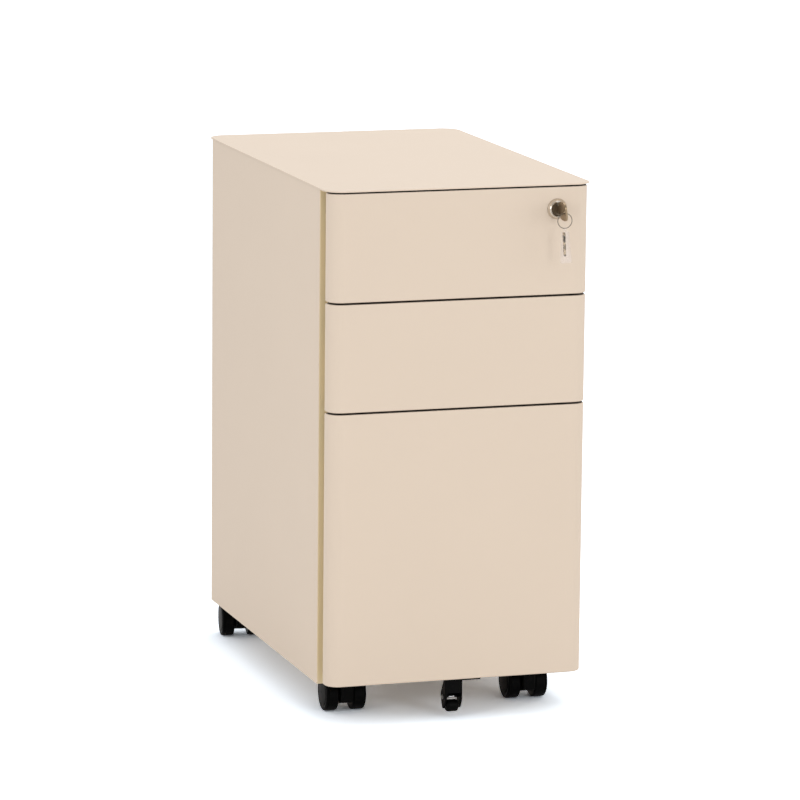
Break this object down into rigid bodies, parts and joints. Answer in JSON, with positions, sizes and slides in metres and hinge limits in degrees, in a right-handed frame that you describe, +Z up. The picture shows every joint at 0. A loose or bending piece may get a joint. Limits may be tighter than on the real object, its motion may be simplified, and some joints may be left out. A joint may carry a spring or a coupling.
{
  "type": "mobile pedestal",
  "caption": "Slim steel mobile pedestal with box drawers, a deep file drawer, a front lock with keys, swivel castors and a support wheel.",
  "frame": {"origin": "on the floor, at the centre of the bounding box, midway between the key's bow and the back edge of the top panel", "axes": "+X to the user's right when facing the drawers, +Y from the drawer fronts to the back, +Z up"},
  "size_m": [0.302, 0.5104, 0.59],
  "materials": {
    "shell_paint": "fine satin powder coat, warm beige",
    "inside_paint": "satin powder coat, warm beige",
    "zinc_steel": "bright zinc plate",
    "nickel": "polished nickel plate",
    "nickel_brass": "worn nickel plate over brass",
    "sleeve_plastic": "clear smoky plastic",
    "castor_black": "black moulded nylon",
    "wheel_black": "black moulded nylon with a soft sheen",
    "axle_steel": "plain turned steel",
    "bracket_black": "black paint"
  },
  "bodies": {
    "case": {"case_wrap": "shell_paint", "top_panel": "shell_paint", "base_plate": "inside_paint", "front_top_rail": "inside_paint", "right_slide_carriers": "inside_paint", "left_slide_carriers": "inside_paint", "lock_bar_guides": "zinc_steel", "top_slides_outer": "zinc_steel", "middle_slides_outer": "zinc_steel", "file_slides_outer": "zinc_steel", "castor_plates": "zinc_steel", "castor_screws": "zinc_steel"},
    "top_drawer": {"top_drawer_front": "shell_paint", "top_drawer_liner": "inside_paint", "top_drawer_box": "inside_paint", "top_drawer_catch": "zinc_steel", "top_slides_inner": "zinc_steel", "lock_barrel": "nickel", "lock_nut": "zinc_steel"},
    "middle_drawer": {"middle_drawer_front": "shell_paint", "middle_drawer_liner": "inside_paint", "middle_drawer_box": "inside_paint", "middle_drawer_catch": "zinc_steel", "middle_slides_inner": "zinc_steel"},
    "file_drawer": {"file_drawer_front": "shell_paint", "file_drawer_liner": "inside_paint", "file_drawer_box": "inside_paint", "file_drawer_catch": "zinc_steel", "file_slides_inner": "zinc_steel", "file_rails": "zinc_steel", "support_castor_bracket": "bracket_black", "support_castor_axle": "zinc_steel", "support_castor_fasteners": "zinc_steel"},
    "top_slide_middles": {"top_slides_middle": "zinc_steel"},
    "middle_slide_middles": {"middle_slides_middle": "zinc_steel"},
    "file_slide_middles": {"file_slides_middle": "zinc_steel"},
    "lock_core": {"lock_plug": "nickel_brass", "lock_cam": "zinc_steel"},
    "inserted_key": {"key": "nickel_brass"},
    "ring": {"key_ring": "nickel"},
    "sleeve": {"key_sleeve": "sleeve_plastic", "spare_key": "nickel_brass"},
    "locking_bar": {"lock_bar": "zinc_steel"},
    "support_wheel": {"support_castor_wheel": "wheel_black"},
    "front_left_swivel": {"front_left_castor_housing": "castor_black", "front_left_castor_axle": "axle_steel"},
    "front_left_left_wheel": {"front_left_castor_left_wheel": "wheel_black"},
    "front_left_right_wheel": {"front_left_castor_right_wheel": "wheel_black"},
    "front_right_swivel": {"front_right_castor_housing": "castor_black", "front_right_castor_axle": "axle_steel"},
    "front_right_left_wheel": {"front_right_castor_left_wheel": "wheel_black"},
    "front_right_right_wheel": {"front_right_castor_right_wheel": "wheel_black"},
    "rear_left_swivel": {"rear_left_castor_housing": "castor_black", "rear_left_castor_axle": "axle_steel"},
    "rear_left_left_wheel": {"rear_left_castor_left_wheel": "wheel_black"},
    "rear_left_right_wheel": {"rear_left_castor_right_wheel": "wheel_black"},
    "rear_right_swivel": {"rear_right_castor_housing": "castor_black", "rear_right_castor_axle": "axle_steel"},
    "rear_right_left_wheel": {"rear_right_castor_left_wheel": "wheel_black"},
    "rear_right_right_wheel": {"rear_right_castor_right_wheel": "wheel_black"}
  },
  "joints": [
    {"name": "top_drawer_slide", "type": "slide", "parent": "case", "child": "top_drawer", "axis": [0, -1, 0], "range_m": [0, 0.39]},
    {"name": "top_slide_middles_slide", "type": "slide", "parent": "case", "child": "top_slide_middles", "axis": [0, -1, 0], "range_m": [0, 0.195]},
    {"name": "middle_drawer_slide", "type": "slide", "parent": "case", "child": "middle_drawer", "axis": [0, -1, 0], "range_m": [0, 0.39]},
    {"name": "middle_slide_middles_slide", "type": "slide", "parent": "case", "child": "middle_slide_middles", "axis": [0, -1, 0], "range_m": [0, 0.195]},
    {"name": "file_drawer_slide", "type": "slide", "parent": "case", "child": "file_drawer", "axis": [0, -1, 0], "range_m": [0, 0.39]},
    {"name": "file_slide_middles_slide", "type": "slide", "parent": "case", "child": "file_slide_middles", "axis": [0, -1, 0], "range_m": [0, 0.195]},
    {"name": "lock_turn", "type": "hinge", "parent": "top_drawer", "child": "lock_core", "pos_m": [0.1085, -0.225, 0.5628], "axis": [0, 1, 0], "range_deg": [0, 90]},
    {"name": "locking_bar_slide", "type": "slide", "parent": "case", "child": "locking_bar", "axis": [0, 0, 1], "range_m": [0, 0.00707]},
    {"name": "key_slide", "type": "slide", "parent": "lock_core", "child": "inserted_key", "axis": [0, -1, 0], "range_m": [0, 0.03]},
    {"name": "ring_swing", "type": "hinge", "parent": "inserted_key", "child": "ring", "pos_m": [0.1085, -0.2504, 0.5614], "axis": [-1, 0, 0], "range_deg": [-12, 60]},
    {"name": "sleeve_swing", "type": "hinge", "parent": "ring", "child": "sleeve", "pos_m": [0.1085, -0.2504, 0.5452], "axis": [-1, 0, 0], "range_deg": [-8, 60]},
    {"name": "front_left_swivel_turn", "type": "hinge", "parent": "case", "child": "front_left_swivel", "pos_m": [-0.106, -0.16, 0.049], "axis": [0, 0, 1], "continuous": true},
    {"name": "front_left_left_wheel_spin", "type": "hinge", "parent": "front_left_swivel", "child": "front_left_left_wheel", "pos_m": [-0.10537, -0.14201, 0.02], "axis": [0.9994, -0.0349, 0], "continuous": true},
    {"name": "front_left_right_wheel_spin", "type": "hinge", "parent": "front_left_swivel", "child": "front_left_right_wheel", "pos_m": [-0.10537, -0.14201, 0.02], "axis": [0.9994, -0.0349, 0], "continuous": true},
    {"name": "front_right_swivel_turn", "type": "hinge", "parent": "case", "child": "front_right_swivel", "pos_m": [0.106, -0.16, 0.049], "axis": [0, 0, 1], "continuous": true},
    {"name": "front_right_left_wheel_spin", "type": "hinge", "parent": "front_right_swivel", "child": "front_right_left_wheel", "pos_m": [0.10647, -0.14201, 0.02], "axis": [0.9997, -0.0262, 0], "continuous": true},
    {"name": "front_right_right_wheel_spin", "type": "hinge", "parent": "front_right_swivel", "child": "front_right_right_wheel", "pos_m": [0.10647, -0.14201, 0.02], "axis": [0.9997, -0.0262, 0], "continuous": true},
    {"name": "rear_left_swivel_turn", "type": "hinge", "parent": "case", "child": "rear_left_swivel", "pos_m": [-0.1185, 0.215, 0.049], "axis": [0, 0, 1], "continuous": true},
    {"name": "rear_left_left_wheel_spin", "type": "hinge", "parent": "rear_left_swivel", "child": "rear_left_left_wheel", "pos_m": [-0.11612, 0.23284, 0.02], "axis": [0.9912, -0.1323, 0], "continuous": true},
    {"name": "rear_left_right_wheel_spin", "type": "hinge", "parent": "rear_left_swivel", "child": "rear_left_right_wheel", "pos_m": [-0.11612, 0.23284, 0.02], "axis": [0.9912, -0.1323, 0], "continuous": true},
    {"name": "rear_right_swivel_turn", "type": "hinge", "parent": "case", "child": "rear_right_swivel", "pos_m": [0.1185, 0.215, 0.049], "axis": [0, 0, 1], "continuous": true},
    {"name": "rear_right_left_wheel_spin", "type": "hinge", "parent": "rear_right_swivel", "child": "rear_right_left_wheel", "pos_m": [0.11724, 0.23296, 0.02], "axis": [0.9976, 0.0698, 0], "continuous": true},
    {"name": "rear_right_right_wheel_spin", "type": "hinge", "parent": "rear_right_swivel", "child": "rear_right_right_wheel", "pos_m": [0.11724, 0.23296, 0.02], "axis": [0.9976, 0.0698, 0], "continuous": true},
    {"name": "support_wheel_spin", "type": "hinge", "parent": "file_drawer", "child": "support_wheel", "pos_m": [0, -0.2085, 0.0133], "axis": [1, 0, 0], "continuous": true}
  ],
  "couplings": [
    {"joint": "top_slide_middles_slide", "follows": "top_drawer_slide", "ratio": 0.5},
    {"joint": "middle_slide_middles_slide", "follows": "middle_drawer_slide", "ratio": 0.5},
    {"joint": "file_slide_middles_slide", "follows": "file_drawer_slide", "ratio": 0.5},
    {"joint": "lock_turn", "follows": "locking_bar_slide", "rad_per_m": 222.14}
  ]
}
